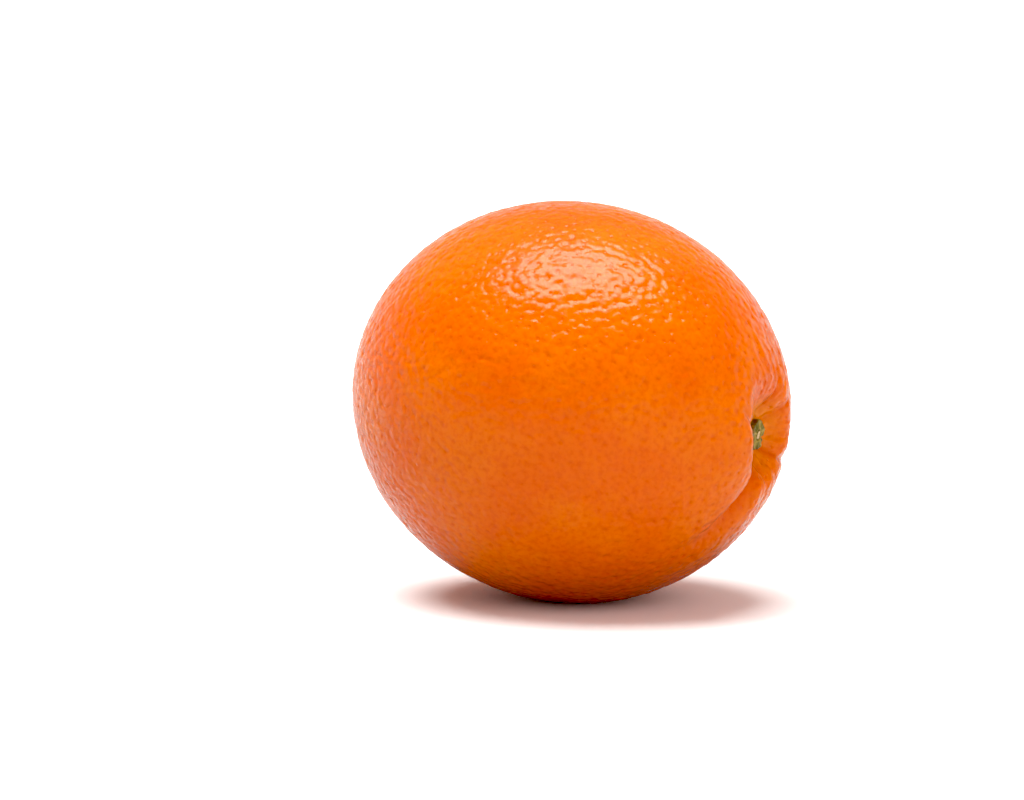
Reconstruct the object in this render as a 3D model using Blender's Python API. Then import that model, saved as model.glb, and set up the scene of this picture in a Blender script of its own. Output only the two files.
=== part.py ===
"""A whole sweet orange, picked with its green button on, lying on its side.

It has three pieces: the fruit, the calyx pressed into the hollow at the stem end, and the short woody
stub of the stem. Each is modelled upright, with the stem axis along +Z and the middle of the fruit at
the origin, and an empty then lays all three down together.
"""

import math
import random

import bmesh
import bpy
from mathutils import Matrix, Vector

MM = 0.001

# The fruit: a spheroid a little longer than it is wide.
FRUIT_LENGTH = 84.4 * MM
FRUIT_DIAMETER = 76.0 * MM
HALF_LENGTH = FRUIT_LENGTH / 2
RADIUS = FRUIT_DIAMETER / 2

# How it lies: the stem end points along +X and dips a little, and the peel is pressed flat below.
STEM_DIP = math.radians(6.3)
FLAT_DEPTH = 0.32 * MM
MIDDLE_FORWARD = 0.14 * MM

# The hollow at the stem end, with a seat for the calyx, and the shoulder that swells round it. On one
# side the shoulder is fullest and leans in over the hollow, and next to it the hollow is widest. Turns
# and widths round the stem axis are in degrees.
SEAT_RADIUS = 3.5 * MM
SEAT_DEPTH = 4.7 * MM
HOLLOW_RADIUS = 10.2 * MM
SHOULDER_RADIUS = 12.0 * MM
SHOULDER_RISE = 0.12 * MM
LEANING_TURN = 98
LEANING_WIDTH = 32
LEANING_OUT = 0.8 * MM
LEANING_RISE = 1.6 * MM
LEANING_SPREAD = 7.0 * MM
WIDENING_TURN = 33
WIDENING_WIDTH = 30
WIDENING_OUT = 3.6 * MM

# Furrows that run out from the seat: turn in degrees, turn gained in degrees for each millimetre out,
# then reach, depth and the widths of the two sides in millimetres, and roundness, from 1, a sharp fold,
# to 2, a smooth trough.
FURROWS = (
    (80, -1.75, 16.0, 1.50, 0.9, 1.2, 1.4),
    (160, -0.45, 28.0, 2.90, 2.6, 2.2, 2.0),
    (191, 0.0, 15.0, 0.50, 0.9, 1.0, 1.4),
    (212, 0.4, 13.0, 0.40, 0.9, 0.9, 1.4),
    (232, 1.2, 19.0, 1.30, 1.0, 1.2, 1.4),
    (265, 0.4, 11.0, 0.35, 0.9, 0.9, 1.4),
    (298, 1.0, 13.0, 0.85, 0.8, 0.9, 1.4),
    (335, 1.2, 20.0, 0.75, 1.1, 1.2, 1.4),
    (30, 0.0, 16.0, 0.50, 1.0, 1.2, 1.4),
)
FURROW_START = 2.9 * MM
FURROW_FULL = 4.8 * MM
FURROW_FADES_FROM = 0.4

# The blossom end: a faint dimple with the raised scar of the fallen style.
DIMPLE_RADIUS = 8.0 * MM
DIMPLE_DEPTH = 0.9 * MM
SCAR_RADIUS = 1.7 * MM
SCAR_TOP_RADIUS = 1.0 * MM
SCAR_RISE = 0.3 * MM

# Slow unevenness round the fruit: waves round, turn of the first crest, height in millimetres.
SWELLS = ((2, 40, 0.22), (3, 75, 0.16), (5, 10, 0.08))

# The fruit's grid of triangles, laid like a honeycomb. Its rows crowd towards the stem end.
AROUND = 91
ALONG = 58
CROWDING = 1.35

# Pits of the peel, larger than life: one corner in seven is sunk, but none near the two ends or the flat.
PIT_DEPTH = 0.5 * MM
SHALLOWEST_PIT = 0.5
PITTED_ROWS = range(13, ALONG - 4)
PIT_CLEAR_OF_FLAT = 8.0 * MM
STRAY = 0.16
PIT_SEED = 7

# The gap that a piece keeps from the one it sits on.
GAP = 0.3 * MM

# The calyx: five blunt sepals grown together, level on top, with a round socket for the stub.
SEPALS = 5
SEPAL_TIP_RADIUS = 2.95 * MM
SEPAL_NOTCH_RADIUS = 2.4 * MM
SEPAL_BLUNTNESS = 0.6
CALYX_FOOT = HALF_LENGTH - SEAT_DEPTH + GAP
CALYX_HEIGHT = 1.0 * MM
CALYX_SHOULDER = ((0.94, 0.0), (1.0, 0.12), (1.0, 0.78), (0.95, 0.95), (0.82, 1.0))
CALYX_AROUND = 60
SOCKET_RADIUS = 1.2 * MM
SOCKET_DEPTH = 0.7 * MM
SOCKET_LIP = 0.25 * MM
SOCKET_LIP_DROP = 0.08 * MM

# The stub of the stem: shares of its radius and height, from the foot to the slightly hollow broken top.
STUB_FOOT = CALYX_FOOT + CALYX_HEIGHT - SOCKET_DEPTH + GAP
STUB_RADIUS = 0.85 * MM
STUB_HEIGHT = 0.4 * MM
STUB_PROFILE = ((0.92, 0.0), (1.0, 0.15), (1.0, 0.75), (0.88, 1.0), (0.6, 0.88))
STUB_AROUND = 28

# Finishes: base colour and roughness.
PEEL = ((0.95, 0.25, 0.008), 0.34)
CALYX_GREEN = ((0.26, 0.27, 0.07), 0.6)
STEM_WOOD = ((0.55, 0.47, 0.27), 0.8)
SHARP_EDGE = math.radians(40)


def clear_scene():
    for obj in list(bpy.data.objects):
        bpy.data.objects.remove(obj)


def smooth_step(low, high, value):
    share = min(1.0, max(0.0, (value - low) / (high - low)))
    return share * share * (3 - 2 * share)


def angle_between(turn, other):
    """Signed smallest angle from other to turn, in radians."""
    return (turn - other + math.pi) % (2 * math.pi) - math.pi


def nearness(turn, middle, width):
    """1 at the middle turn, and less the further away, in a bell curve. Middle and width are in degrees."""
    away = math.degrees(angle_between(turn, math.radians(middle))) / width
    return math.exp(-away * away)


def leaning(turn):
    """How much of the shoulder's lean there is at a turn round the stem axis, from 0 to 1."""
    return nearness(turn, LEANING_TURN, LEANING_WIDTH)


def hollow(spread, turn):
    """Depth of the stem end's hollow at a distance from the stem axis."""
    rim = HOLLOW_RADIUS + LEANING_OUT * leaning(turn)
    rim += WIDENING_OUT * nearness(turn, WIDENING_TURN, WIDENING_WIDTH)
    return SEAT_DEPTH * (1 - smooth_step(SEAT_RADIUS, rim, spread))


def shoulder(spread, turn):
    """Rise of the swollen rim round the hollow."""
    away = spread - SHOULDER_RADIUS
    low = SHOULDER_RISE * math.exp(-(away / SHOULDER_RADIUS * 2) ** 2)
    return low + LEANING_RISE * leaning(turn) * math.exp(-(away / LEANING_SPREAD) ** 2)


def furrow_depth(spread, turn):
    """Depth of the creases that run out from the button, where the shoulders fold."""
    total = 0.0
    onset = smooth_step(FURROW_START, FURROW_FULL, spread)
    for start, gain, reach, depth, width_before, width_after, roundness in FURROWS:
        middle = math.radians(start + gain * (spread - SEAT_RADIUS) / MM)
        across = angle_between(turn, middle) * spread / MM
        width = width_before if across < 0 else width_after
        profile = math.exp(-abs(across / width) ** roundness)
        fade = 1 - smooth_step(FURROW_FADES_FROM * reach, reach, spread / MM)
        total += depth * MM * profile * onset * fade
    return total


def blossom_relief(spread):
    """Rise of the peel at the blossom end: a dimple, and in it the raised scar."""
    dimple = DIMPLE_DEPTH * (1 - smooth_step(0, DIMPLE_RADIUS, spread))
    scar = SCAR_RISE * (1 - smooth_step(SCAR_TOP_RADIUS, SCAR_RADIUS, spread))
    return scar - dimple


def swell(polar, turn):
    """Slow unevenness, which dies out towards both ends."""
    waves = sum(
        height * MM * math.cos(count * (turn - math.radians(crest)))
        for count, crest, height in SWELLS
    )
    return waves * math.sin(polar) ** 2


def peel_point(polar, turn):
    """A point of the peel: polar is the angle from the stem end, turn the angle round the stem axis."""
    outward = Vector((math.cos(turn), math.sin(turn), 0))
    spread = RADIUS * math.sin(polar)
    point = outward * spread + Vector((0, 0, HALF_LENGTH * math.cos(polar)))
    normal = outward * (math.sin(polar) / RADIUS) + Vector((0, 0, math.cos(polar) / HALF_LENGTH))
    rise = swell(polar, turn)
    if polar < math.pi / 2:
        rise += shoulder(spread, turn) - furrow_depth(spread, turn)
        point.z -= hollow(spread, turn)
    else:
        rise += blossom_relief(spread)
    return point + normal.normalized() * rise


def fruit_corner(column, row, placed, chance):
    """A corner of the fruit's grid. Each row is turned half a column past the row before it."""
    pitted = row in PITTED_ROWS
    row_stray = chance.uniform(-STRAY, STRAY) * pitted
    column_stray = chance.uniform(-STRAY, STRAY) * pitted
    polar = math.pi * ((row + row_stray) / ALONG) ** CROWDING
    pit = PIT_DEPTH * math.sin(polar) * chance.uniform(SHALLOWEST_PIT, 1)
    turn = 2 * math.pi * (column + row / 2 + column_stray) / AROUND
    point = peel_point(polar, turn)
    clear_of_flat = (placed @ point).length > PIT_CLEAR_OF_FLAT
    if pitted and clear_of_flat and (column + 3 * row) % 7 == 0:
        point -= point.normalized() * pit
    return point


def laid_down():
    """Turns the upright pieces on their side: the stem axis goes to +X and dips, and turn 0 faces up."""
    stem = Vector((math.cos(STEM_DIP), 0, -math.sin(STEM_DIP)))
    up = Vector((math.sin(STEM_DIP), 0, math.cos(STEM_DIP)))
    near = stem.cross(up)
    turned = Matrix((up, near, stem)).transposed().to_4x4()
    lowest = math.hypot(HALF_LENGTH * math.sin(STEM_DIP), RADIUS * math.cos(STEM_DIP))
    return Matrix.Translation((MIDDLE_FORWARD, 0, lowest - FLAT_DEPTH)) @ turned


def finished_material(name, finish):
    colour, roughness = finish
    material = bpy.data.materials.new(name)
    material.use_nodes = True
    shader = material.node_tree.nodes["Principled BSDF"]
    shader.inputs["Base Color"].default_value = (*colour, 1)
    shader.inputs["Roughness"].default_value = roughness
    shader.inputs["Metallic"].default_value = 0
    return material


def add_object(name, form, material, lying):
    """Makes a form an object of the scene, shaded smooth, laid down with the others."""
    mesh = bpy.data.meshes.new(name)
    bmesh.ops.recalc_face_normals(form, faces=form.faces)
    form.to_mesh(mesh)
    form.free()
    mesh.materials.append(material)
    mesh.shade_smooth()
    mesh.set_sharp_from_angle(angle=SHARP_EDGE)
    obj = bpy.data.objects.new(name, mesh)
    bpy.context.scene.collection.objects.link(obj)
    obj.parent = lying


def press_flat_below(form, placed):
    """Cuts the fruit level where it rests, and closes the cut with one flat face."""
    upright = placed.inverted()
    cut = bmesh.ops.bisect_plane(
        form,
        geom=form.verts[:] + form.edges[:] + form.faces[:],
        plane_co=upright.translation,
        plane_no=upright.to_3x3() @ Vector((0, 0, -1)),
        clear_outer=True,
    )
    rim = [item for item in cut["geom_cut"] if isinstance(item, bmesh.types.BMEdge)]
    bmesh.ops.holes_fill(form, edges=rim, sides=0)


def make_fruit(lying, placed):
    """The honeycomb grid of the peel, closed by a fan at each end."""
    form = bmesh.new()
    chance = random.Random(PIT_SEED)
    rows = [
        [form.verts.new(fruit_corner(column, row, placed, chance)) for column in range(AROUND)]
        for row in range(1, ALONG)
    ]
    for row, following in zip(rows, rows[1:]):
        for i in range(AROUND):
            form.faces.new((row[i], following[i - 1], following[i]))
            form.faces.new((row[i - 1], following[i - 1], row[i]))
    for row, polar in ((rows[0], 0), (rows[-1], math.pi)):
        tip = form.verts.new(peel_point(polar, 0))
        for i in range(AROUND):
            form.faces.new((row[i - 1], row[i], tip))
    press_flat_below(form, placed)
    add_object("orange_fruit", form, finished_material("orange_peel", PEEL), lying)


def ring_points(radius_at, height, count):
    """Points round the stem axis, at a radius that may change with the turn."""
    turns = [2 * math.pi * i / count for i in range(count)]
    return [(radius_at(turn) * math.cos(turn), radius_at(turn) * math.sin(turn), height) for turn in turns]


def skinned_rings(rings):
    """Closes a stack of equal rings of points into one body, with a flat face at each end."""
    form = bmesh.new()
    loops = [[form.verts.new(point) for point in ring] for ring in rings]
    for loop, following in zip(loops, loops[1:]):
        for i in range(len(loop)):
            form.faces.new((loop[i - 1], loop[i], following[i], following[i - 1]))
    form.faces.new(loops[0])
    form.faces.new(loops[-1])
    return form


def sepal_edge(turn):
    """Radius of the calyx's outline: blunt lobes with a sharp notch between each two."""
    lobe = abs(math.cos(SEPALS * turn / 2)) ** SEPAL_BLUNTNESS
    return SEPAL_NOTCH_RADIUS + (SEPAL_TIP_RADIUS - SEPAL_NOTCH_RADIUS) * lobe


def make_calyx(lying):
    """Rings from the underside, up over the edge of the sepals, and down into the socket."""
    top = CALYX_FOOT + CALYX_HEIGHT
    socket_rings = (
        (SOCKET_RADIUS + SOCKET_LIP, top),
        (SOCKET_RADIUS, top - SOCKET_LIP_DROP),
        (SOCKET_RADIUS, top - SOCKET_DEPTH),
    )
    rings = [
        ring_points(lambda turn: share * sepal_edge(turn), CALYX_FOOT + rise * CALYX_HEIGHT, CALYX_AROUND)
        for share, rise in CALYX_SHOULDER
    ]
    rings += [ring_points(lambda turn: radius, height, CALYX_AROUND) for radius, height in socket_rings]
    add_object("calyx", skinned_rings(rings), finished_material("calyx_green", CALYX_GREEN), lying)


def make_stem_stub(lying):
    """A short round peg with a bevelled foot and a slightly hollow, broken top, level with the calyx."""
    rings = [
        ring_points(lambda turn: share * STUB_RADIUS, STUB_FOOT + rise * STUB_HEIGHT, STUB_AROUND)
        for share, rise in STUB_PROFILE
    ]
    add_object("stem_stub", skinned_rings(rings), finished_material("stem_wood", STEM_WOOD), lying)


def main():
    clear_scene()
    placed = laid_down()
    lying = bpy.data.objects.new("lying", None)
    bpy.context.scene.collection.objects.link(lying)
    lying.matrix_world = placed
    make_fruit(lying, placed)
    make_calyx(lying)
    make_stem_stub(lying)


main()
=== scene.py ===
"""Dresses a whole sweet orange, lying on its side with its green button on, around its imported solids.

The file is laid out as a Blender add-on: settings, an operator for each piece and one for the stage, and
a panel in the 3D view's sidebar. Lengths are in metres.
"""

import math

import bmesh
import bpy
import numpy as np
from bpy.props import FloatProperty, FloatVectorProperty, IntProperty, PointerProperty
from mathutils import Matrix, Vector


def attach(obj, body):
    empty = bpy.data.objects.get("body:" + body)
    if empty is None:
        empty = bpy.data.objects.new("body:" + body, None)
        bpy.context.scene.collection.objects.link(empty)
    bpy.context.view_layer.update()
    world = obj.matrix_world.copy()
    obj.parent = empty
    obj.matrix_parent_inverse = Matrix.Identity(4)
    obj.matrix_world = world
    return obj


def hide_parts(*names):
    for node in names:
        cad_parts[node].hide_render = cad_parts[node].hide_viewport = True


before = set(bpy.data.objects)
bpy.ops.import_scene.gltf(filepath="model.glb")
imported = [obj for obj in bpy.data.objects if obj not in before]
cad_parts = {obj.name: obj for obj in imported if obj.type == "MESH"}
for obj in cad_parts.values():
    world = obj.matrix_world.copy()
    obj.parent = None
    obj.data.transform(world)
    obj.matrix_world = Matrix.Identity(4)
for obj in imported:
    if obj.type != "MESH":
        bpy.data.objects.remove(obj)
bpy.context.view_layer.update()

bl_info = {
    "name": "Orange",
    "version": (1, 0, 0),
    "blender": (4, 5, 0),
    "location": "3D View > Sidebar > Orange",
    "description": "Makes the peel, calyx, stem stub and stage of a whole orange",
    "category": "Object",
}

MM = 0.001

# Furrows that run out from the calyx: turn in degrees, turn gained in degrees for each millimetre out,
# then reach, depth and the widths of the two sides in millimetres, and roundness, from 1, a sharp fold,
# to 2, a smooth trough.
FURROWS = (
    (80, -1.75, 16.0, 1.50, 0.8, 1.1, 1.4),
    (160, -0.45, 28.0, 2.90, 2.6, 2.2, 2.0),
    (191, 0.0, 15.0, 0.50, 0.8, 0.9, 1.4),
    (212, 0.4, 13.0, 0.40, 0.8, 0.8, 1.4),
    (232, 1.2, 19.0, 1.30, 0.9, 1.1, 1.4),
    (265, 0.4, 11.0, 0.35, 0.8, 0.8, 1.4),
    (298, 1.0, 13.0, 0.85, 0.7, 0.8, 1.4),
    (335, 1.2, 20.0, 0.75, 1.0, 1.1, 1.4),
    (30, 0.0, 16.0, 0.50, 0.9, 1.1, 1.4),
)
FURROW_START = 2.9
FURROW_FULL = 4.8
FURROW_FADES_FROM = 0.4

# Narrow raised folds beside the furrows: turn in degrees, turn gained for each millimetre out, where
# they start and end, their height and their width in millimetres.
RIDGES = (
    (6, 0.0, 5.0, 24.0, 0.30, 0.8),
    (318, 1.3, 5.0, 22.0, 0.28, 0.8),
    (15, 0.2, 4.5, 20.0, 0.18, 0.5),
    (25, 0.0, 4.0, 16.0, 0.16, 0.6),
    (36, -0.4, 4.0, 17.0, 0.15, 0.5),
    (352, 0.4, 5.0, 21.0, 0.22, 0.6),
    (48, -0.8, 4.0, 15.0, 0.16, 0.6),
    (172, 0.3, 6.0, 22.0, 0.18, 0.8),
    (205, 0.6, 7.0, 20.0, 0.16, 0.8),
    (252, 0.3, 6.0, 15.0, 0.14, 0.7),
)
RIDGE_RISES_OVER = 3
RIDGE_FADES_OVER = 8

# Fine wrinkles round the calyx: how many in a turn, phase, sway for each millimetre out, height in
# millimetres.
WRINKLES = (
    (19, 0.4, 0.21, 0.040),
    (31, 2.1, -0.17, 0.032),
    (53, 4.0, 0.12, 0.020),
)
# The distances from the axis between which they rise, and between which they fade, in millimetres.
WRINKLES_RISE = (3.5, 6)
WRINKLES_FADE = (9, 19)

# Slow unevenness round the fruit: waves round, turn of the first crest, height in millimetres.
SWELLS = ((2, 40, 0.22), (3, 75, 0.16), (5, 10, 0.08))


class OrangeFruitSettings(bpy.types.PropertyGroup):
    """The form of the whole fruit, as in its solid model."""

    length: FloatProperty(
        name="Length", description="Length along the stem axis, before the ends are dimpled",
        default=84.4 * MM, unit="LENGTH",
    )
    diameter: FloatProperty(
        name="Diameter", description="Width across the stem axis", default=76.0 * MM, unit="LENGTH",
    )
    stem_dip: FloatProperty(
        name="Stem Dip", description="How far the stem end points below level",
        default=math.radians(6.3), subtype="ANGLE",
    )
    flat_depth: FloatProperty(
        name="Flat Depth", description="How deep the peel is pressed flat below",
        default=0.32 * MM, unit="LENGTH",
    )
    middle_forward: FloatProperty(
        name="Middle Forward", description="How far the middle lies from the origin along the length",
        default=0.14 * MM, unit="LENGTH",
    )
    seat_radius: FloatProperty(
        name="Seat Radius", description="Radius of the calyx's level seat",
        default=3.5 * MM, unit="LENGTH",
    )
    seat_depth: FloatProperty(
        name="Seat Depth", description="Depth of the calyx's seat below the fruit's end",
        default=4.7 * MM, unit="LENGTH",
    )
    hollow_radius: FloatProperty(
        name="Hollow Radius", description="Radius of the hollow round the calyx",
        default=10.2 * MM, unit="LENGTH",
    )
    shoulder_radius: FloatProperty(
        name="Shoulder Radius", description="Radius at which the peel swells round the hollow",
        default=12.0 * MM, unit="LENGTH",
    )
    shoulder_rise: FloatProperty(
        name="Shoulder Rise", description="Height of that swelling", default=0.12 * MM, unit="LENGTH",
    )
    leaning_turn: FloatProperty(
        name="Leaning Turn", description="Turn at which the shoulder leans in over the hollow",
        default=math.radians(94), subtype="ANGLE",
    )
    leaning_width: FloatProperty(
        name="Leaning Width", description="Half width of the leaning shoulder",
        default=math.radians(32), subtype="ANGLE",
    )
    leaning_out: FloatProperty(
        name="Leaning Out", description="How far the hollow is wider there", default=0.8 * MM, unit="LENGTH",
    )
    leaning_rise: FloatProperty(
        name="Leaning Rise", description="How far it stands above the rest",
        default=1.6 * MM, unit="LENGTH",
    )
    leaning_spread: FloatProperty(
        name="Leaning Spread", description="How far it reaches in and out from its top",
        default=7.0 * MM, unit="LENGTH",
    )
    widening_turn: FloatProperty(
        name="Widening Turn", description="Turn at which the hollow is widest and least steep",
        default=math.radians(33), subtype="ANGLE",
    )
    widening_width: FloatProperty(
        name="Widening Width", description="Half width of that wide part",
        default=math.radians(30), subtype="ANGLE",
    )
    widening_out: FloatProperty(
        name="Widening Out", description="How far the hollow is wider there", default=3.6 * MM, unit="LENGTH",
    )
    dimple_radius: FloatProperty(
        name="Dimple Radius", description="Radius of the dimple at the blossom end",
        default=8.0 * MM, unit="LENGTH",
    )
    dimple_depth: FloatProperty(
        name="Dimple Depth", description="Depth of the dimple at the blossom end",
        default=0.9 * MM, unit="LENGTH",
    )
    scar_radius: FloatProperty(
        name="Scar Radius", description="Radius of the scar that the style left",
        default=1.7 * MM, unit="LENGTH",
    )
    scar_rise: FloatProperty(
        name="Scar Rise", description="Height of the scar in its dimple",
        default=0.3 * MM, unit="LENGTH",
    )


class OrangePeelSettings(bpy.types.PropertyGroup):
    """The pits and the colours of the peel."""

    pore_spacing: FloatProperty(
        name="Pore Spacing", description="Least distance between two pits",
        default=1.8 * MM, unit="LENGTH",
    )
    smallest_pore: FloatProperty(
        name="Smallest Pore", description="Radius of the smallest pits",
        default=0.55 * MM, unit="LENGTH",
    )
    largest_pore: FloatProperty(
        name="Largest Pore", description="Radius of the largest pits",
        default=1.0 * MM, unit="LENGTH",
    )
    pore_depth: FloatProperty(
        name="Pore Depth", description="Depth of the largest pits",
        default=0.19 * MM, unit="LENGTH",
    )
    seed: IntProperty(name="Seed", description="Changes where the pits are", default=11)
    orange: FloatVectorProperty(
        name="Orange", description="Colour of most of the peel",
        default=(0.70, 0.145, 0.008), size=3, subtype="COLOR", min=0, max=1,
    )
    warm: FloatVectorProperty(
        name="Warm Patches", description="Colour of the redder patches",
        default=(0.68, 0.120, 0.008), size=3, subtype="COLOR", min=0, max=1,
    )
    # Besides the peel's own darker marks, this colour also serves as painted shade in the pits and in the
    # furrows.
    pit: FloatVectorProperty(
        name="Pits", description="Colour at the bottom of the pits",
        default=(0.57, 0.072, 0.006), size=3, subtype="COLOR", min=0, max=1,
    )
    stem_yellow: FloatVectorProperty(
        name="Stem End", description="Colour of the peel close round the calyx",
        default=(0.70, 0.26, 0.015), size=3, subtype="COLOR", min=0, max=1,
    )
    scar_brown: FloatVectorProperty(
        name="Blossom Scar", description="Colour of the scar at the blossom end",
        default=(0.30, 0.125, 0.030), size=3, subtype="COLOR", min=0, max=1,
    )


class OrangeButtonSettings(bpy.types.PropertyGroup):
    """The calyx and the stub of the stem in its middle."""

    tip_radius: FloatProperty(
        name="Sepal Tips", description="Radius of the calyx at the sepals' tips",
        default=2.95 * MM, unit="LENGTH",
    )
    notch_radius: FloatProperty(
        name="Sepal Notches", description="Radius of the calyx between the sepals",
        default=2.4 * MM, unit="LENGTH",
    )
    gap: FloatProperty(
        name="Gap", description="Gap that the solid model keeps below the calyx and the stub",
        default=0.3 * MM, unit="LENGTH",
    )
    height: FloatProperty(
        name="Height", description="Height of the calyx", default=1.0 * MM, unit="LENGTH",
    )
    socket_depth: FloatProperty(
        name="Socket Depth", description="Depth of the socket in the calyx's middle",
        default=0.70 * MM, unit="LENGTH",
    )
    stub_radius: FloatProperty(
        name="Stub Radius", description="Radius of the stub of the stem",
        default=0.85 * MM, unit="LENGTH",
    )
    stub_height: FloatProperty(
        name="Stub Height", description="Height of the stub above the socket's floor",
        default=0.62 * MM, unit="LENGTH",
    )
    green: FloatVectorProperty(
        name="Green", description="Colour of the calyx",
        default=(0.130, 0.112, 0.014), size=3, subtype="COLOR", min=0, max=1,
    )
    # Yellow is the calyx's own paler tone in its random blotches, and a painted highlight on its ribs and the
    # socket's lip.
    yellow: FloatVectorProperty(
        name="Yellow", description="Colour of the calyx's ribs and rims",
        default=(0.46, 0.32, 0.07), size=3, subtype="COLOR", min=0, max=1,
    )
    brown: FloatVectorProperty(
        name="Brown", description="Colour of the calyx's dry edges",
        default=(0.13, 0.065, 0.012), size=3, subtype="COLOR", min=0, max=1,
    )
    wood: FloatVectorProperty(
        name="Wood", description="Colour of the broken stem",
        default=(0.70, 0.50, 0.27), size=3, subtype="COLOR", min=0, max=1,
    )
    pith: FloatVectorProperty(
        name="Pith", description="Colour of the rings and the middle of the broken stem",
        default=(0.27, 0.19, 0.085), size=3, subtype="COLOR", min=0, max=1,
    )


class OrangeStageSettings(bpy.types.PropertyGroup):
    """The camera, the floor and the light."""

    azimuth: FloatProperty(
        name="Azimuth", description="Turn of the camera round the orange",
        default=math.radians(25.5), subtype="ANGLE",
    )
    elevation: FloatProperty(
        name="Elevation", description="Height of the camera above level",
        default=math.radians(7), subtype="ANGLE",
    )
    lens: FloatProperty(
        name="Lens", description="Focal length in millimetres, on a sensor 36 mm wide", default=150,
    )
    distance: FloatProperty(
        name="Distance", description="From the camera to the point that it looks at",
        default=0.8085, unit="LENGTH",
    )
    aim_left: FloatProperty(
        name="Aim Left", description="How far left of the orange's middle the camera looks",
        default=11.1 * MM, unit="LENGTH",
    )
    aim_up: FloatProperty(
        name="Aim Up", description="How far above the orange's middle the camera looks",
        default=0.3 * MM, unit="LENGTH",
    )
    floor_radius: FloatProperty(
        name="Floor Radius", description="Radius of the round floor", default=20, unit="LENGTH",
    )
    floor_white: FloatVectorProperty(
        name="Floor", description="Colour of the floor",
        default=(0.98, 0.98, 0.98), size=3, subtype="COLOR", min=0, max=1,
    )
    floor_bounce: FloatVectorProperty(
        name="Floor Bounce", description="Colour of the floor as the orange meets it",
        default=(0.58, 0.58, 0.58), size=3, subtype="COLOR", min=0, max=1,
    )
    sky_strength: FloatProperty(
        name="Surroundings", description="Brightness of the white room around the orange", default=0.45,
    )
    sky_tint: FloatVectorProperty(
        name="Tint of the Surroundings", description="Colour of the light that the white room gives",
        default=(1.15, 1.0, 0.96), size=3, subtype="COLOR", min=0, max=2,
    )
    overhead_strength: FloatProperty(
        name="Overhead Light", description="Strength of the soft light from above", default=5.0,
    )
    overhead_angle: FloatProperty(
        name="Overhead Angle", description="How wide the soft light from above is",
        default=math.radians(50), subtype="ANGLE",
    )
    front_strength: FloatProperty(
        name="Front Light", description="Strength of the soft light from the camera's side", default=1.6,
    )
    front_angle: FloatProperty(
        name="Front Angle", description="How wide the soft light from the camera's side is",
        default=math.radians(70), subtype="ANGLE",
    )
    panel_energy: FloatProperty(
        name="Light Panel", description="Power of the long panel that shows in the peel's gloss",
        default=5.0,
    )


def smooth_step(low, high, value):
    share = np.clip((value - low) / (high - low), 0, 1)
    return share * share * (3 - 2 * share)


def angle_between(turn, other):
    """Signed smallest angle from other to turn, in radians."""
    return (turn - other + np.pi) % (2 * np.pi) - np.pi


def nearness(turn, middle, width):
    """1 at the middle turn, and less the further away, in a bell curve."""
    away = angle_between(turn, middle) / width
    return np.exp(-away * away)


def leaning(fruit, turn):
    """How much of the shoulder's lean there is at a turn, from 0 to 1."""
    return nearness(turn, fruit.leaning_turn, fruit.leaning_width)


def hollow(fruit, spread, turn):
    """Depth of the stem end's hollow at a distance from the stem axis."""
    rim = fruit.hollow_radius + fruit.leaning_out * leaning(fruit, turn)
    rim = rim + fruit.widening_out * nearness(turn, fruit.widening_turn, fruit.widening_width)
    return fruit.seat_depth * (1 - smooth_step(fruit.seat_radius, rim, spread))


def shoulder(fruit, spread, turn):
    """Rise of the swollen rim round the hollow."""
    away = spread - fruit.shoulder_radius
    low = fruit.shoulder_rise * np.exp(-(away / fruit.shoulder_radius * 2) ** 2)
    return low + fruit.leaning_rise * leaning(fruit, turn) * np.exp(-(away / fruit.leaning_spread) ** 2)


def furrows(fruit, spread, turn):
    """Depth of the creases that run out from the calyx."""
    out = spread / MM
    onset = smooth_step(FURROW_START, FURROW_FULL, out)
    total = np.zeros_like(out)
    for start, gain, reach, depth, width_before, width_after, roundness in FURROWS:
        middle = np.radians(start + gain * (out - fruit.seat_radius / MM))
        across = angle_between(turn, middle) * out
        width = np.where(across < 0, width_before, width_after)
        profile = np.exp(-np.abs(across / width) ** roundness)
        fade = 1 - smooth_step(FURROW_FADES_FROM * reach, reach, out)
        total += depth * MM * profile * onset * fade
    return total


def ridges(spread, turn):
    """Height of the narrow folds beside the furrows."""
    out = spread / MM
    total = np.zeros_like(out)
    for start, gain, begins, ends, height, width in RIDGES:
        middle = np.radians(start + gain * (out - begins))
        across = angle_between(turn, middle) * out / width
        risen = smooth_step(begins, begins + RIDGE_RISES_OVER, out)
        length = risen * (1 - smooth_step(ends - RIDGE_FADES_OVER, ends, out))
        total += height * MM * np.exp(-across * across) * length
    return total


def wrinkles(spread, turn):
    """Height of the fine radial wrinkles round the calyx."""
    out = spread / MM
    fade = smooth_step(*WRINKLES_RISE, out) * (1 - smooth_step(*WRINKLES_FADE, out))
    waves = sum(
        height * MM * np.cos(count * turn + phase + sway * out)
        for count, phase, sway, height in WRINKLES
    )
    return waves * fade


def blossom_relief(fruit, spread):
    """Rise of the peel at the blossom end: a dimple, and in it the raised scar."""
    dimple = fruit.dimple_depth * (1 - smooth_step(0, fruit.dimple_radius, spread))
    scar = fruit.scar_rise * (1 - smooth_step(0.6 * fruit.scar_radius, fruit.scar_radius, spread))
    return scar - dimple


def swell(polar, turn):
    """Slow unevenness, which dies out towards both ends."""
    waves = sum(
        height * MM * np.cos(count * (turn - math.radians(crest)))
        for count, crest, height in SWELLS
    )
    return waves * np.sin(polar) ** 2


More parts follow.
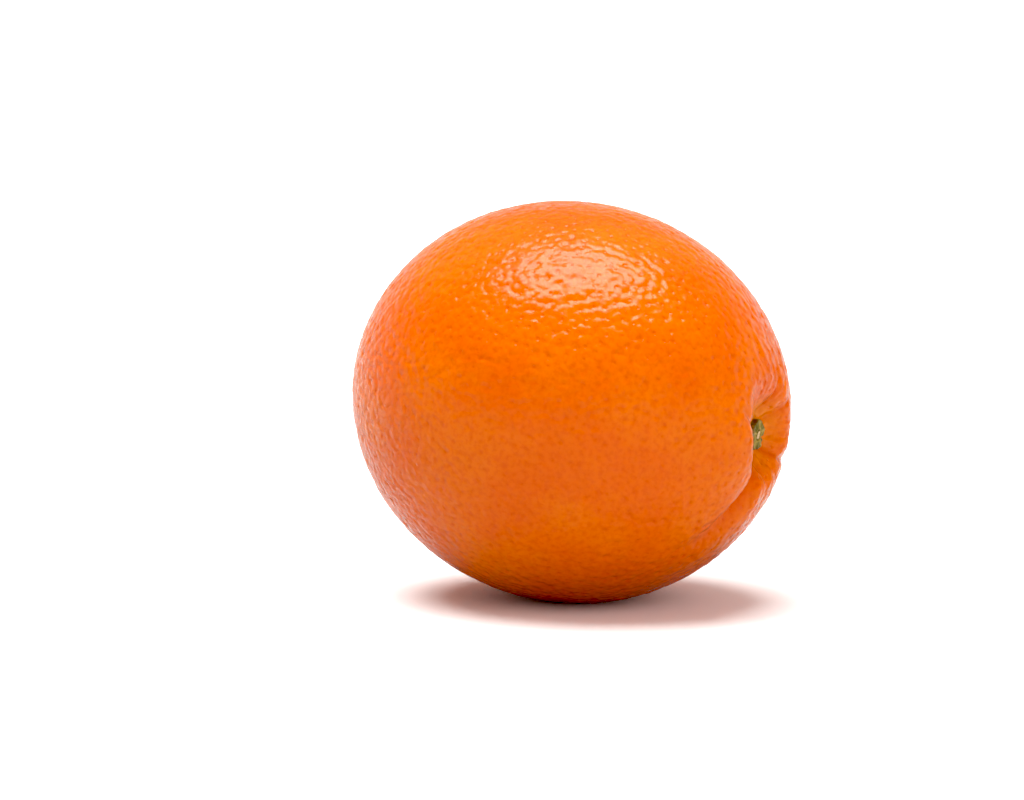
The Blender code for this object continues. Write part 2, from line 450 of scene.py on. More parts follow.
def peel_points(fruit, polar, turn):
    """Points of the peel, upright: polar is the angle from the stem end, turn goes round the axis."""
    half, radius = fruit.length / 2, fruit.diameter / 2
    spread = radius * np.sin(polar)
    level = half * np.cos(polar)
    stem_side = polar < np.pi / 2
    rise = swell(polar, turn)
    stem_rise = shoulder(fruit, spread, turn) - furrows(fruit, spread, turn)
    stem_rise += ridges(spread, turn) + wrinkles(spread, turn)
    rise += np.where(stem_side, stem_rise, blossom_relief(fruit, spread))
    level -= np.where(stem_side, hollow(fruit, spread, turn), 0)
    outward, upward = np.sin(polar) / radius, np.cos(polar) / half
    size = np.hypot(outward, upward)
    spread = spread + rise * outward / size
    level = level + rise * upward / size
    return np.stack((spread * np.cos(turn), spread * np.sin(turn), level), axis=-1)


def laid_down(fruit):
    """Turns the upright pieces on their side: the stem axis goes to +X and dips, and turn 0 faces up."""
    dip, half, radius = fruit.stem_dip, fruit.length / 2, fruit.diameter / 2
    stem = Vector((math.cos(dip), 0, -math.sin(dip)))
    up = Vector((math.sin(dip), 0, math.cos(dip)))
    turned = Matrix((up, stem.cross(up), stem)).transposed().to_4x4()
    lowest = math.hypot(half * math.sin(dip), radius * math.cos(dip))
    return Matrix.Translation((fruit.middle_forward, 0, lowest - fruit.flat_depth)) @ turned


def laid(fruit, points):
    """Upright points, laid down with the fruit."""
    placed = np.array(laid_down(fruit))
    return points @ placed[:3, :3].T + placed[:3, 3]


def honeycomb(rows, around):
    """The grid of a closed form from pole to pole: each corner's place along, from 0 to 1, and turn,
    and the triangles. Each row is turned half a column past the row before it, as in a honeycomb."""
    row, column = np.meshgrid(np.arange(1, rows), np.arange(around), indexing="ij")
    along = np.append((row / rows).ravel(), (0, 1))
    turn = np.append((2 * np.pi * (column + row / 2) / around).ravel(), (0, 0))
    here = (row - 1) * around + column
    last = np.roll(here, 1, axis=1)
    start, end = np.full(around, along.size - 2), np.full(around, along.size - 1)
    triangles = np.concatenate((
        np.stack((here[:-1], last[1:], here[1:]), axis=-1).reshape(-1, 3),
        np.stack((last[:-1], last[1:], here[:-1]), axis=-1).reshape(-1, 3),
        np.stack((start, last[0], here[0]), axis=-1),
        np.stack((here[-1], last[-1], end), axis=-1),
    ))
    return along, turn, triangles


CROSSING_WAVES = 20


def ripples(points, wavelength, height, seed):
    """Unevenness of about one wavelength, from plane waves that cross at random."""
    chance = np.random.default_rng(seed)
    directions = chance.normal(size=(CROSSING_WAVES, 3))
    directions /= np.linalg.norm(directions, axis=1, keepdims=True)
    phases = chance.uniform(0, 2 * np.pi, CROSSING_WAVES)
    waves = np.sin(points @ directions.T * (2 * np.pi / wavelength) + phases)
    return height * waves.sum(axis=-1) / math.sqrt(CROSSING_WAVES)


def add_piece(name, points, triangles):
    """A smooth mesh object at the origin, with its place in its mesh."""
    mesh = bpy.data.meshes.new(name)
    mesh.from_pydata(points.tolist(), [], triangles.tolist())
    form = bmesh.new()
    form.from_mesh(mesh)
    bmesh.ops.recalc_face_normals(form, faces=form.faces)
    form.to_mesh(mesh)
    form.free()
    mesh.shade_smooth()
    piece = bpy.data.objects.new(name, mesh)
    bpy.context.scene.collection.objects.link(piece)
    return piece


def set_attribute(mesh, name, values):
    attribute = mesh.attributes.new(name, "FLOAT", "POINT")
    attribute.data.foreach_set("value", np.asarray(values, np.float32))


def add_node(tree, kind, inputs=None, **settings):
    """A node with its settings, its sockets given by name or number: a value, or a socket to join."""
    node = tree.nodes.new(kind)
    for name, value in settings.items():
        setattr(node, name, value)
    for name, value in (inputs or {}).items():
        if isinstance(value, bpy.types.NodeSocket):
            tree.links.new(value, node.inputs[name])
        else:
            node.inputs[name].default_value = value
    return node


def pore_tree():
    """Geometry nodes that press pits into a mesh: points spread evenly over it at random, each with a
    width of its own, and every corner of the mesh sunk by how near its nearest point is."""
    tree = bpy.data.node_groups.new("peel_pores", "GeometryNodeTree")
    sockets = (
        ("Geometry", "NodeSocketGeometry"),
        ("Pore Spacing", "NodeSocketFloat"),
        ("Most Pores", "NodeSocketFloat"),
        ("Smallest Pore", "NodeSocketFloat"),
        ("Largest Pore", "NodeSocketFloat"),
        ("Pore Depth", "NodeSocketFloat"),
        ("Seed", "NodeSocketInt"),
        ("Peel", "NodeSocketMaterial"),
    )
    for name, kind in sockets:
        tree.interface.new_socket(name, in_out="INPUT", socket_type=kind)
    tree.interface.new_socket("Geometry", in_out="OUTPUT", socket_type="NodeSocketGeometry")
    given = tree.nodes.new("NodeGroupInput").outputs

    def node(kind, inputs, output=0, **settings):
        return add_node(tree, kind, inputs, **settings).outputs[output]

    place = node("GeometryNodeInputPosition", {})
    outward = node("GeometryNodeInputNormal", {})
    pitting = node("GeometryNodeInputNamedAttribute", {"Name": "pitting"}, data_type="FLOAT")
    spread = node("GeometryNodeDistributePointsOnFaces", {
        "Mesh": given["Geometry"],
        "Distance Min": given["Pore Spacing"],
        "Density Max": given["Most Pores"],
        "Density Factor": pitting,
        "Seed": given["Seed"],
    }, distribute_method="POISSON")
    width = node("FunctionNodeRandomValue", {
        2: given["Smallest Pore"], 3: given["Largest Pore"], "Seed": given["Seed"],
    }, output=1, data_type="FLOAT")
    pores = node("GeometryNodeStoreNamedAttribute", {
        "Geometry": spread, "Name": "width", "Value": width,
    }, data_type="FLOAT", domain="POINT")
    nearest = node("GeometryNodeSampleNearest", {"Geometry": pores})
    pore_place = node("GeometryNodeSampleIndex", {
        "Geometry": pores, "Value": place, "Index": nearest,
    }, data_type="FLOAT_VECTOR")
    own_width = node("GeometryNodeInputNamedAttribute", {"Name": "width"}, data_type="FLOAT")
    pore_width = node("GeometryNodeSampleIndex", {
        "Geometry": pores, "Value": own_width, "Index": nearest,
    }, data_type="FLOAT")
    from_pore = node("ShaderNodeVectorMath", {0: place, 1: pore_place}, operation="SUBTRACT")
    away = node("ShaderNodeVectorMath", {0: from_pore}, output="Value", operation="LENGTH")
    pit = node("ShaderNodeMapRange", {
        "Value": away, "From Max": pore_width, "To Min": 1, "To Max": 0,
    }, interpolation_type="SMOOTHSTEP")
    marked = given["Geometry"]
    for name, value, kind in (
        ("pore", pit, "FLOAT"), ("pore_away", away, "FLOAT"), ("pore_width", pore_width, "FLOAT"),
        ("from_pore", from_pore, "FLOAT_VECTOR"),
    ):
        marked = node("GeometryNodeStoreNamedAttribute", {
            "Geometry": marked, "Name": name, "Value": value,
        }, data_type=kind, domain="POINT")
    girth = node("ShaderNodeMath", {0: pore_width, 1: given["Largest Pore"]}, operation="DIVIDE")
    deepest = node("ShaderNodeMath", {0: girth, 1: given["Pore Depth"]}, operation="MULTIPLY")
    sunk = node("ShaderNodeMath", {0: deepest, 1: pit}, operation="MULTIPLY")
    inward = node("ShaderNodeMath", {0: sunk, 1: -1}, operation="MULTIPLY")
    offset = node("ShaderNodeVectorMath", {0: outward, "Scale": inward}, operation="SCALE")
    pitted = node("GeometryNodeSetPosition", {"Geometry": marked, "Offset": offset})
    whole = node("GeometryNodeRealizeInstances", {"Geometry": pitted})
    finished = node("GeometryNodeSetMaterial", {"Geometry": whole, "Material": given["Peel"]})
    add_node(tree, "NodeGroupOutput", {"Geometry": finished})
    return tree


# How many pits are tried for each square of the pore spacing, before those too close are dropped.
PORES_TRIED = 2


def press_pores(piece, peel, material):
    """Runs the pore tree over a piece and keeps the plain mesh that comes out."""
    modifier = piece.modifiers.new("pores", "NODES")
    modifier.node_group = pore_tree()
    values = {
        "Pore Spacing": peel.pore_spacing,
        "Most Pores": PORES_TRIED / peel.pore_spacing ** 2,
        "Smallest Pore": peel.smallest_pore,
        "Largest Pore": peel.largest_pore,
        "Pore Depth": peel.pore_depth,
        "Seed": peel.seed,
        "Peel": material,
    }
    for socket in modifier.node_group.interface.items_tree:
        if socket.in_out == "INPUT" and socket.name in values:
            modifier[socket.identifier] = values[socket.name]
    graph = bpy.context.evaluated_depsgraph_get()
    evaluated = piece.evaluated_get(graph)
    mesh = bpy.data.meshes.new_from_object(evaluated, preserve_all_data_layers=True, depsgraph=graph)
    piece.modifiers.remove(modifier)
    piece.data = mesh
    mesh.name = piece.name
    if "pore" not in mesh.attributes:
        raise RuntimeError("the pore tree gave no pores")


VIEWPORT_COLOUR = (0.8, 0.5, 0.2, 1)


class Shading:
    """A material under way: adds nodes to its tree and hands back the socket to go on with."""

    def __init__(self, name):
        self.material = bpy.data.materials.new(name)
        self.material.use_nodes = True
        self.tree = self.material.node_tree
        self.surface = self.tree.nodes["Principled BSDF"]
        coordinates = self.tree.nodes.new("ShaderNodeTexCoord")
        self.place = coordinates.outputs["Object"]

    def attribute(self, name):
        """A value kept on the mesh's corners, by name."""
        return add_node(self.tree, "ShaderNodeAttribute", attribute_name=name).outputs["Fac"]

    def attribute_length(self, name):
        """The length of a vector kept on the mesh's corners, by name."""
        kept = add_node(self.tree, "ShaderNodeAttribute", attribute_name=name).outputs["Vector"]
        length = add_node(self.tree, "ShaderNodeVectorMath", {0: kept}, operation="LENGTH")
        return length.outputs["Value"]

    def noise(self, grain, detail=2.0):
        """Noise whose patches are about one grain across, in metres."""
        inputs = {"Vector": self.place, "Scale": 1 / grain, "Detail": detail}
        return add_node(self.tree, "ShaderNodeTexNoise", inputs).outputs["Fac"]

    def cells(self, grain, **settings):
        """Distance from the middle of random cells of about one grain across, in grains."""
        inputs = {"Vector": self.place, "Scale": 1 / grain}
        return add_node(self.tree, "ShaderNodeTexVoronoi", inputs, **settings).outputs["Distance"]

    def domes(self, grain):
        """Height of rounded cells of about one grain across, lowest where they meet."""
        away = self.cells(grain, feature="SMOOTH_F1")
        return self.maths("SUBTRACT", 1.0, self.maths("MULTIPLY", away, away))

    def fitted(self, value, low, high, start=0.0, end=1.0):
        """A value moved from one range to another, clamped and eased at both ends."""
        inputs = {"Value": value, "From Min": low, "From Max": high, "To Min": start, "To Max": end}
        return add_node(
            self.tree, "ShaderNodeMapRange", inputs, interpolation_type="SMOOTHSTEP",
        ).outputs["Result"]

    def maths(self, operation, first, second):
        return add_node(self.tree, "ShaderNodeMath", {0: first, 1: second}, operation=operation).outputs[0]

    def times(self, socket, share):
        return self.maths("MULTIPLY", socket, share)

    def mixed(self, factor, first, second):
        """Two colours, mixed by a factor."""
        colours = {
            number: colour if isinstance(colour, bpy.types.NodeSocket) else (*colour, 1)
            for number, colour in ((6, first), (7, second))
        }
        return add_node(self.tree, "ShaderNodeMix", {0: factor, **colours}, data_type="RGBA").outputs[2]

    def bump(self, height, depth, normal=None):
        """A normal bent by a height from 0 to 1 that stands for a depth in metres."""
        inputs = {"Height": height, "Distance": depth}
        if normal is not None:
            inputs["Normal"] = normal
        return add_node(self.tree, "ShaderNodeBump", inputs).outputs["Normal"]

    def finish(self, colour, roughness, normal, **values):
        """Joins the sockets to the surface and sets its plain values. Returns the material."""
        for name, socket in (("Base Color", colour), ("Roughness", roughness), ("Normal", normal)):
            self.tree.links.new(socket, self.surface.inputs[name])
        for name, value in values.items():
            self.surface.inputs[name.replace("_", " ")].default_value = value
        self.material.diffuse_color = VIEWPORT_COLOUR
        return self.material


def peel_material(peel):
    """Waxy orange peel: redder patches, darker pits that are partly the peel's own tone and partly painted
    shade, painted shade in the furrows, a yellow stem end and a brown blossom scar.
    """
    shading = Shading("orange_peel")
    pore = shading.attribute("pore")
    width = shading.attribute("pore_width")
    away = shading.maths("SUBTRACT", shading.attribute("pore_away"), 0.35 * MM)
    away = shading.maths("MAXIMUM", shading.attribute_length("from_pore"), away)
    core = shading.fitted(away, shading.times(width, 0.15), shading.times(width, 0.6), 1, 0)
    speck = shading.fitted(shading.cells(2.1 * MM), 0.0, 0.2, 1, 0)
    patches = shading.fitted(shading.noise(15 * MM), 0.35, 0.65)
    mottle = shading.fitted(shading.noise(0.9 * MM), 0.4, 0.7)
    colour = shading.mixed(patches, peel.orange, peel.warm)
    colour = shading.mixed(shading.times(mottle, 0.33), colour, peel.pit)
    # The pits and their cores go towards the pit colour: partly the oil glands' own darker tone, partly
    # painted shade in the hollows.
    colour = shading.mixed(shading.times(pore, 0.25), colour, peel.pit)
    colour = shading.mixed(shading.times(core, 0.1), colour, peel.pit)
    colour = shading.mixed(shading.times(speck, 0.2), colour, peel.pit)
    colour = shading.mixed(shading.times(shading.attribute("stem_near"), 0.6), colour, peel.stem_yellow)
    # Painted shade: the peel is darkened towards the pit colour in the furrows, by their depth.
    colour = shading.mixed(shading.times(shading.attribute("painted_crease_shade"), 0.4), colour, peel.pit)
    ragged = shading.fitted(shading.noise(0.5 * MM), 0.3, 0.55, 0.35, 1)
    colour = shading.mixed(shading.times(shading.attribute("scar"), ragged), colour, peel.scar_brown)
    roughness = shading.fitted(shading.noise(2.4 * MM), 0.3, 0.7, 0.15, 0.23)
    normal = shading.bump(shading.domes(1.3 * MM), 0.32 * MM)
    normal = shading.bump(core, -0.05 * MM, normal)
    normal = shading.bump(speck, -0.02 * MM, normal)
    normal = shading.bump(shading.noise(0.4 * MM, detail=1.0), 0.018 * MM, normal)
    return shading.finish(
        colour, roughness, normal,
        Subsurface_Weight=0.2, Subsurface_Radius=(1.0, 0.22, 0.04), Subsurface_Scale=2.0 * MM,
        Specular_IOR_Level=0.25,
    )


def calyx_material(button):
    """Olive green and fibrous, yellow in blotches, a painted highlight in yellow on the ribs and the socket's
    lip, brown and dry towards the edge.
    """
    shading = Shading("calyx_green")
    rib = shading.attribute("rib")
    blotches = shading.fitted(shading.noise(1.3 * MM, detail=3.0), 0.4, 0.65)
    # Painted highlight: the raised ribs and the socket's lip go towards yellow.
    colour = shading.mixed(shading.times(rib, 0.8), button.green, button.yellow)
    colour = shading.mixed(shading.times(blotches, 0.5), colour, button.yellow)
    ragged = shading.fitted(shading.noise(0.8 * MM), 0.4, 0.6)
    colour = shading.mixed(shading.times(shading.attribute("edge"), ragged), colour, button.brown)
    roughness = shading.fitted(shading.noise(0.6 * MM), 0.3, 0.7, 0.5, 0.7)
    normal = shading.bump(shading.noise(0.25 * MM, detail=3.0), 0.03 * MM)
    return shading.finish(
        colour, roughness, normal,
        Subsurface_Weight=0.1, Subsurface_Radius=(0.5, 0.6, 0.1), Subsurface_Scale=0.5 * MM,
    )


def stub_material(button):
    """Pale broken wood with darker rings, in a brown bark."""
    shading = Shading("stem_wood")
    out = shading.attribute("out")
    phase = shading.maths("ADD", shading.times(out, 22.0), shading.times(shading.noise(0.7 * MM), 5.0))
    wave = add_node(shading.tree, "ShaderNodeMath", {0: phase}, operation="SINE").outputs[0]
    rings = shading.fitted(wave, 0.1, 0.9)
    fibre = shading.fitted(shading.noise(0.2 * MM, detail=3.0), 0.4, 0.7)
    colour = shading.mixed(shading.times(rings, 0.45), button.wood, button.pith)
    colour = shading.mixed(shading.times(fibre, 0.4), colour, button.pith)
    colour = shading.mixed(shading.fitted(out, 0.84, 0.97), colour, button.green)
    roughness = shading.fitted(shading.noise(0.3 * MM), 0.3, 0.7, 0.7, 0.9)
    normal = shading.bump(shading.noise(0.15 * MM, detail=3.0), 0.04 * MM)
    return shading.finish(colour, roughness, normal)


def settings():
    scene = bpy.context.scene
    return scene.orange_fruit, scene.orange_peel, scene.orange_button, scene.orange_stage


def finish_piece(piece, material, node):
    """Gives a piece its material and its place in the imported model."""
    if piece.data.materials:
        piece.data.materials[0] = material
    else:
        piece.data.materials.append(material)
    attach(piece, "root")
    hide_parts(node)


PEEL_ROWS = 220
PEEL_AROUND = 440
PEEL_CROWDING = 1.35
# Depth of a furrow at which the painted shade in it is full.
FULL_CREASE_SHADE_DEPTH = 1.5 * MM
# Distances from the stem axis in millimetres, between which the peel becomes pitted at either end, the
# yellow round the calyx fades, and the blossom scar ends.
STEM_PITS = (4.5, 8)
BLOSSOM_PITS = (1.6, 2.2)
YELLOW_FADES = (3, 9)
SCAR_ENDS = (0.9, 1.6)


class ORANGE_OT_peel(bpy.types.Operator):
    """Make the pitted peel of the whole fruit, with its stem end and its blossom end"""

    bl_idname = "orange.peel"
    bl_label = "Peel"

    def execute(self, context):
        fruit, peel, _, _ = settings()
        along, turn, triangles = honeycomb(PEEL_ROWS, PEEL_AROUND)
        polar = np.pi * along ** PEEL_CROWDING
        points = laid(fruit, peel_points(fruit, polar, turn))
        outward = points - laid(fruit, np.zeros((1, 3)))
        outward /= np.linalg.norm(outward, axis=1, keepdims=True)
        uneven = ripples(points, wavelength=2.1 * MM, height=0.040 * MM, seed=1)
        uneven += ripples(points, wavelength=4.5 * MM, height=0.03 * MM, seed=2)
        points += outward * uneven[:, None]
        points[:, 2] = np.maximum(points[:, 2], 0)
        piece = add_piece("peel", points, triangles)
        spread = fruit.diameter / 2 * np.sin(polar) / MM
        stem_side = polar < np.pi / 2
        pitted = np.where(stem_side, smooth_step(*STEM_PITS, spread), smooth_step(*BLOSSOM_PITS, spread))
        # How deep each corner lies in a furrow, as a share, for the painted shade there.
        crease_shade_share = np.clip(furrows(fruit, spread * MM, turn) / FULL_CREASE_SHADE_DEPTH, 0, 1)
        yellow = 1 - smooth_step(*YELLOW_FADES, spread)
        ragged = spread * (1 + 0.12 * np.cos(3 * turn + 1) + 0.08 * np.cos(7 * turn))
        scarred = 1 - smooth_step(*SCAR_ENDS, ragged)
        set_attribute(piece.data, "pitting", pitted)
        set_attribute(piece.data, "painted_crease_shade", np.where(stem_side, crease_shade_share, 0))
        set_attribute(piece.data, "stem_near", np.where(stem_side, yellow, 0))
        set_attribute(piece.data, "scar", np.where(stem_side, 0, scarred))
        material = peel_material(peel)
        press_pores(piece, peel, material)
        finish_piece(piece, material, "orange_fruit")
        return {"FINISHED"}


SEPALS = 5
CALYX_ROWS = 46
CALYX_AROUND = 200
# The calyx's outline from under its middle, round its edge and up to the lip, then down into the socket:
# share of the radius, and share of the height.
CALYX_OUTLINE = (
    (0.0, 0.0), (0.5, 0.0), (0.90, -0.06), (0.97, 0.05), (1.0, 0.3), (1.02, 0.65), (1.0, 0.88),
    (0.95, 0.98), (0.88, 0.97), (0.76, 0.87), (0.62, 0.87), (0.51, 0.98), (0.45, 0.98), (0.40, 0.85),
    (0.38, 0.56), (0.355, 0.47), (0.0, 0.46),
)
RIB_WIDTH = 0.16
RIB_RISE = 0.14 * MM
VALLEY_DEPTH = 0.34 * MM
FLUTES = 31
FLUTE_RISE = 0.022 * MM
STUB_ROWS = 34
STUB_AROUND = 90
STUB_OUTLINE = (
    (0.0, 0.0), (0.9, 0.0), (1.0, 0.12), (1.0, 0.8), (0.95, 0.95), (0.85, 1.0), (0.7, 0.92), (0.4, 0.86),
    (0.0, 0.92),
)


def along_outline(outline, along):
    """Points at even steps along an outline: the share of the radius, and the share of the height."""
    corners = np.array(outline)
    steps = np.hypot(np.diff(corners[:, 0]), np.diff(corners[:, 1]))
    reached = np.append(0, np.cumsum(steps)) / steps.sum()
    return np.interp(along, reached, corners[:, 0]), np.interp(along, reached, corners[:, 1])


def sepal_edge(button, turn):
    """Radius of the calyx's outline: blunt lobes with a sharp notch between each two."""
    lobe = np.abs(np.cos(SEPALS * turn / 2)) ** 0.6
    return button.notch_radius + (button.tip_radius - button.notch_radius) * lobe


class ORANGE_OT_calyx(bpy.types.Operator):
    """Make the green button at the stem end: five blunt sepals round a socket"""

    bl_idname = "orange.calyx"
    bl_label = "Calyx"

    def execute(self, context):
        fruit, _, button, _ = settings()
        along, turn, triangles = honeycomb(CALYX_ROWS, CALYX_AROUND)
        share, rise = along_outline(CALYX_OUTLINE, along)
        middle = (button.notch_radius + button.tip_radius) / 2
        lobed = sepal_edge(button, turn) * share ** 2 + middle * (1 - share ** 2)
        spread = share * lobed
        from_tip = np.abs(angle_between(SEPALS * turn, 0)) / np.pi
        top = smooth_step(0.1, 0.4, rise) * smooth_step(0.35, 0.5, share)
        rib = np.exp(-(from_tip / RIB_WIDTH) ** 2) * top
        valley = smooth_step(0.72, 1.0, from_tip) * smooth_step(0.5, 0.9, share) * top
        relief = RIB_RISE * rib - VALLEY_DEPTH * valley
        relief += FLUTE_RISE * np.cos(FLUTES * turn + 5 * np.sin(2 * turn)) * top
        seat = fruit.length / 2 * np.cos(np.arcsin(spread / (fruit.diameter / 2))) - fruit.seat_depth
        level = seat + rise * (button.gap + button.height) + relief
        points = np.stack((spread * np.cos(turn), spread * np.sin(turn), level), axis=-1)
        uneven = ripples(points, wavelength=1.1 * MM, height=0.05 * MM, seed=3)
        points[:, 2] += uneven * smooth_step(0, 0.3, rise)
        uneven = ripples(points, wavelength=1.6 * MM, height=1, seed=4)
        points[:, :2] *= 1 + 0.02 * (uneven * share)[:, None]
        piece = add_piece("calyx_button", laid(fruit, points), triangles)
        # This mask, of the ribs and the socket's lip, carries the painted highlight in yellow.
        set_attribute(piece.data, "rib", np.maximum(rib, smooth_step(0.56, 0.44, share) * top))
        set_attribute(piece.data, "edge", smooth_step(0.8, 1.0, share))
        finish_piece(piece, calyx_material(button), "calyx")
        return {"FINISHED"}


class ORANGE_OT_stem_stub(bpy.types.Operator):
    """Make the pale broken end of the stem in the calyx's socket"""

    bl_idname = "orange.stem_stub"
    bl_label = "Stem Stub"

    def execute(self, context):
        fruit, _, button, _ = settings()
        along, turn, triangles = honeycomb(STUB_ROWS, STUB_AROUND)
        share, rise = along_outline(STUB_OUTLINE, along)
        spread = share * button.stub_radius * (1 + 0.03 * np.cos(3 * turn + 1) + 0.02 * np.cos(7 * turn))
        foot = fruit.length / 2 - fruit.seat_depth + button.gap + button.height - button.socket_depth
        level = foot + rise * button.stub_height
        points = np.stack((spread * np.cos(turn), spread * np.sin(turn), level), axis=-1)
        rough = ripples(points, wavelength=0.9 * MM, height=0.06 * MM, seed=5)
        rough += ripples(points, wavelength=0.35 * MM, height=0.025 * MM, seed=6)
        points[:, 2] += rough * smooth_step(0.6, 0.9, rise)
        piece = add_piece("stem_end", laid(fruit, points), triangles)
        set_attribute(piece.data, "out", np.where(rise < 0.75, 1, share))
        finish_piece(piece, stub_material(button), "stem_stub")
        return {"FINISHED"}


SENSOR_WIDTH = 36
FLOOR_CORNERS = 96
BLACK_LEVEL = 0.025
# How bright the surroundings show in the gloss, behind the orange and in front of it: between which
# heights they darken, then the brightness below and above.
GLOSS_BEHIND = (0.0, 0.6, 1.0, 0.28)
GLOSS_IN_FRONT = (0.0, 0.35, 1.0, 0.16)
# Where the lights come from, as shares of the view's up, right and backward directions.
OVERHEAD_FROM = (0.98, -0.17, 0.08)
FRONT_FROM = (0.1, 0.7, 0.8)
PANEL_FROM = (0.98, 0.02, 0.18)
PANEL_AWAY = 0.6
PANEL_SIZE = (0.64, 0.36)


def camera_axes(stage):
    """The view's right, up and backward directions, and the last of them points to the camera."""
    turn, rise = stage.azimuth, stage.elevation
    back = Vector((math.sin(turn) * math.cos(rise), -math.cos(turn) * math.cos(rise), math.sin(rise)))
    right = Vector((math.cos(turn), math.sin(turn), 0))
    return right, back.cross(right), back


def placed_at(place, right, up, back):
    turned = Matrix((right, up, back)).transposed().to_4x4()
    return Matrix.Translation(place) @ turned


def add_to_scene(name, data, placed=None):
    thing = bpy.data.objects.new(name, data)
    bpy.context.scene.collection.objects.link(thing)
    if placed is not None:
        thing.matrix_world = placed
    return thing


def add_camera(fruit, stage):
    right, up, back = camera_axes(stage)
    aim = laid_down(fruit).translation - right * stage.aim_left + up * stage.aim_up
    data = bpy.data.cameras.new("camera")
    data.lens = stage.lens
    data.sensor_width = SENSOR_WIDTH
    data.clip_start = 0.01
    camera = add_to_scene("camera", data, placed_at(aim + back * stage.distance, right, up, back))
    bpy.context.scene.camera = camera


def add_floor(stage):
    form = bmesh.new()
    bmesh.ops.create_circle(form, cap_ends=True, segments=FLOOR_CORNERS, radius=stage.floor_radius)
    mesh = bpy.data.meshes.new("floor")
    form.to_mesh(mesh)
    form.free()
    material = bpy.data.materials.new("floor_white")
    material.use_nodes = True
    surface = material.node_tree.nodes["Principled BSDF"].inputs
    path = add_node(material.node_tree, "ShaderNodeLightPath").outputs["Is Camera Ray"]
    white = add_node(material.node_tree, "ShaderNodeMix", {
        0: path, 6: (*stage.floor_bounce, 1), 7: (*stage.floor_white, 1),
    }, data_type="RGBA").outputs[2]
    material.node_tree.links.new(white, surface["Base Color"])
    surface["Roughness"].default_value = 1
    surface["Specular IOR Level"].default_value = 0
    mesh.materials.append(material)
    floor = add_to_scene("floor", mesh)


def light_room(stage):
    """White surroundings: full white to the eye, dimmer and slightly warm as light, and darker towards
    the top in the gloss."""
    world = bpy.data.worlds.new("room")
    bpy.context.scene.world = world
    world.use_nodes = True
    tree = world.node_tree
    path = tree.nodes.new("ShaderNodeLightPath").outputs
    direction = tree.nodes.new("ShaderNodeTexCoord").outputs["Generated"]
    back = camera_axes(stage)[2]
    level = add_node(tree, "ShaderNodeSeparateXYZ", {0: direction}).outputs["Z"]
    front = add_node(tree, "ShaderNodeVectorMath", {0: direction, 1: back}, operation="DOT_PRODUCT")

    def eased(value, low, high, start, end):
        return add_node(tree, "ShaderNodeMapRange", {
            "Value": value, "From Min": low, "From Max": high, "To Min": start, "To Max": end,
        }, interpolation_type="SMOOTHSTEP").outputs["Result"]

    gloss = add_node(tree, "ShaderNodeMix", {
        0: eased(front.outputs["Value"], -0.3, 0.3, 0, 1),
        2: eased(level, *GLOSS_BEHIND),
        3: eased(level, *GLOSS_IN_FRONT),
    }, data_type="FLOAT")
    light = add_node(tree, "ShaderNodeMix", {
        0: path["Is Glossy Ray"], 2: stage.sky_strength, 3: gloss.outputs[0],
    }, data_type="FLOAT")
    seen = add_node(tree, "ShaderNodeMix", {
        0: path["Is Camera Ray"], 2: light.outputs[0], 3: 1.0,
    }, data_type="FLOAT")
    plain_white = add_node(tree, "ShaderNodeMath", {
        0: path["Is Camera Ray"], 1: path["Is Glossy Ray"],
    }, operation="MAXIMUM")
    tint = add_node(tree, "ShaderNodeMix", {
        0: plain_white.outputs[0], 6: (*stage.sky_tint, 1), 7: (1, 1, 1, 1),
    }, data_type="RGBA")
    background = tree.nodes["Background"].inputs
    tree.links.new(tint.outputs[2], background["Color"])
    tree.links.new(seen.outputs[0], background["Strength"])


def direction_of(stage, shares):
    """A direction, from its shares of the view's up, right and backward directions."""
    right, up, back = camera_axes(stage)
    return (up * shares[0] + right * shares[1] + back * shares[2]).normalized()


def add_soft_light(name, strength, angle, source, middle):
    """A wide light without a place, which leaves no mark in the gloss."""
    light = bpy.data.lights.new(name, "SUN")
    light.energy = strength
    light.angle = angle
    across = Vector((0, 1, 0)).cross(source).normalized()
    lamp = add_to_scene(name, light, placed_at(middle + source, across, source.cross(across), source))
    lamp.visible_glossy = False


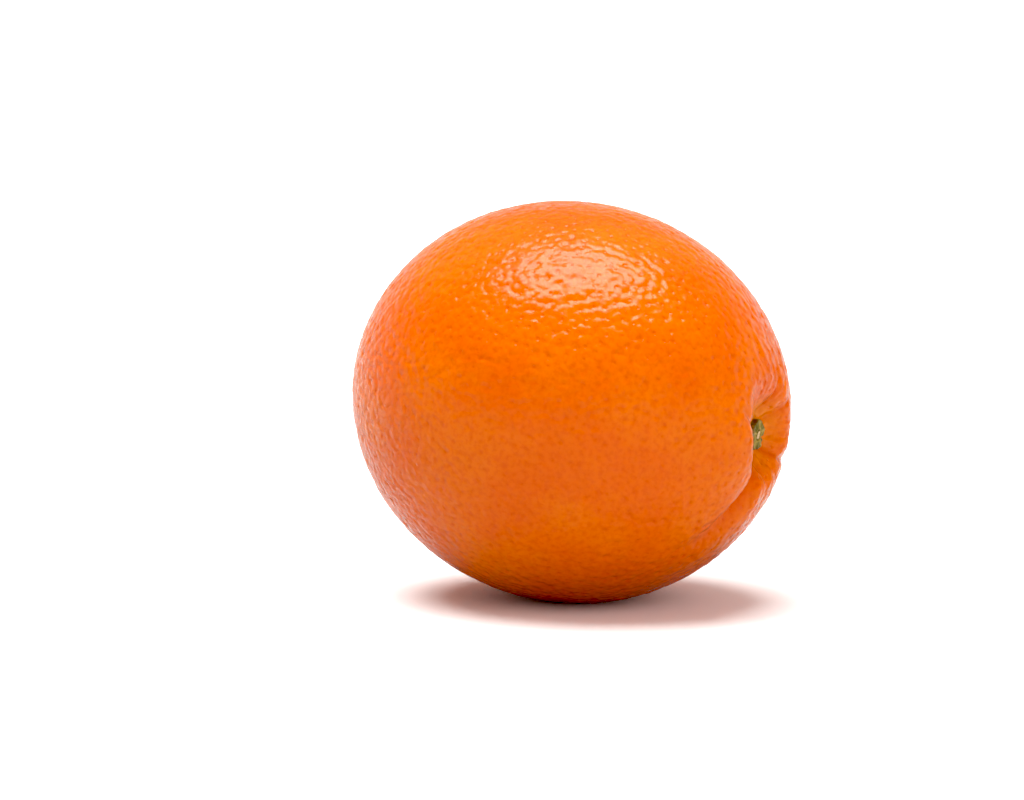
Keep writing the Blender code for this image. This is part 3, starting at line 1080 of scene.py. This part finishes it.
def add_lights(fruit, stage):
    """Wide soft lights from above and from the front, and a panel that only shows in the gloss."""
    middle = laid_down(fruit).translation
    source = direction_of(stage, OVERHEAD_FROM)
    add_soft_light("overhead", stage.overhead_strength, stage.overhead_angle, source, middle)
    source = direction_of(stage, FRONT_FROM)
    add_soft_light("front", stage.front_strength, stage.front_angle, source, middle)
    panel = bpy.data.lights.new("panel", "AREA")
    panel.shape = "ELLIPSE"
    panel.size, panel.size_y = PANEL_SIZE
    panel.energy = stage.panel_energy
    source = direction_of(stage, PANEL_FROM)
    rising = source.cross(camera_axes(stage)[0]).normalized()
    placed = placed_at(middle + source * PANEL_AWAY, rising.cross(source), rising, source)
    lamp = add_to_scene("panel", panel, placed)
    lamp.visible_diffuse = False
    lamp.visible_camera = False


class ORANGE_OT_stage(bpy.types.Operator):
    """Set up the camera, the white floor and the soft light"""

    bl_idname = "orange.stage"
    bl_label = "Stage"

    def execute(self, context):
        fruit, _, _, stage = settings()
        add_camera(fruit, stage)
        add_floor(stage)
        light_room(stage)
        add_lights(fruit, stage)
        view = context.scene.view_settings
        view.view_transform = "Standard"
        view.use_curve_mapping = True
        view.curve_mapping.black_level = [BLACK_LEVEL] * 3
        return {"FINISHED"}


class ORANGE_PT_orange(bpy.types.Panel):
    """Lists the orange's pieces and their settings"""

    bl_idname = "ORANGE_PT_orange"
    bl_label = "Orange"
    bl_space_type = "VIEW_3D"
    bl_region_type = "UI"
    bl_category = "Orange"

    def draw(self, context):
        for operator in OPERATORS:
            self.layout.operator(operator.bl_idname)
        for group in SETTINGS:
            box = self.layout.box()
            held = getattr(context.scene, group)
            for name in held.bl_rna.properties.keys():
                if name not in ("rna_type", "name"):
                    box.prop(held, name)


SETTINGS = {
    "orange_fruit": OrangeFruitSettings,
    "orange_peel": OrangePeelSettings,
    "orange_button": OrangeButtonSettings,
    "orange_stage": OrangeStageSettings,
}
OPERATORS = (ORANGE_OT_peel, ORANGE_OT_calyx, ORANGE_OT_stem_stub, ORANGE_OT_stage)


def register():
    for kept in (*SETTINGS.values(), *OPERATORS, ORANGE_PT_orange):
        bpy.utils.register_class(kept)
    for name, group in SETTINGS.items():
        setattr(bpy.types.Scene, name, PointerProperty(type=group))


def unregister():
    for name in SETTINGS:
        delattr(bpy.types.Scene, name)
    for kept in reversed((*SETTINGS.values(), *OPERATORS, ORANGE_PT_orange)):
        bpy.utils.unregister_class(kept)


def main():
    register()
    bpy.ops.orange.stage()
    bpy.ops.orange.peel()
    bpy.ops.orange.calyx()
    bpy.ops.orange.stem_stub()


if __name__ == "__main__":
    main()
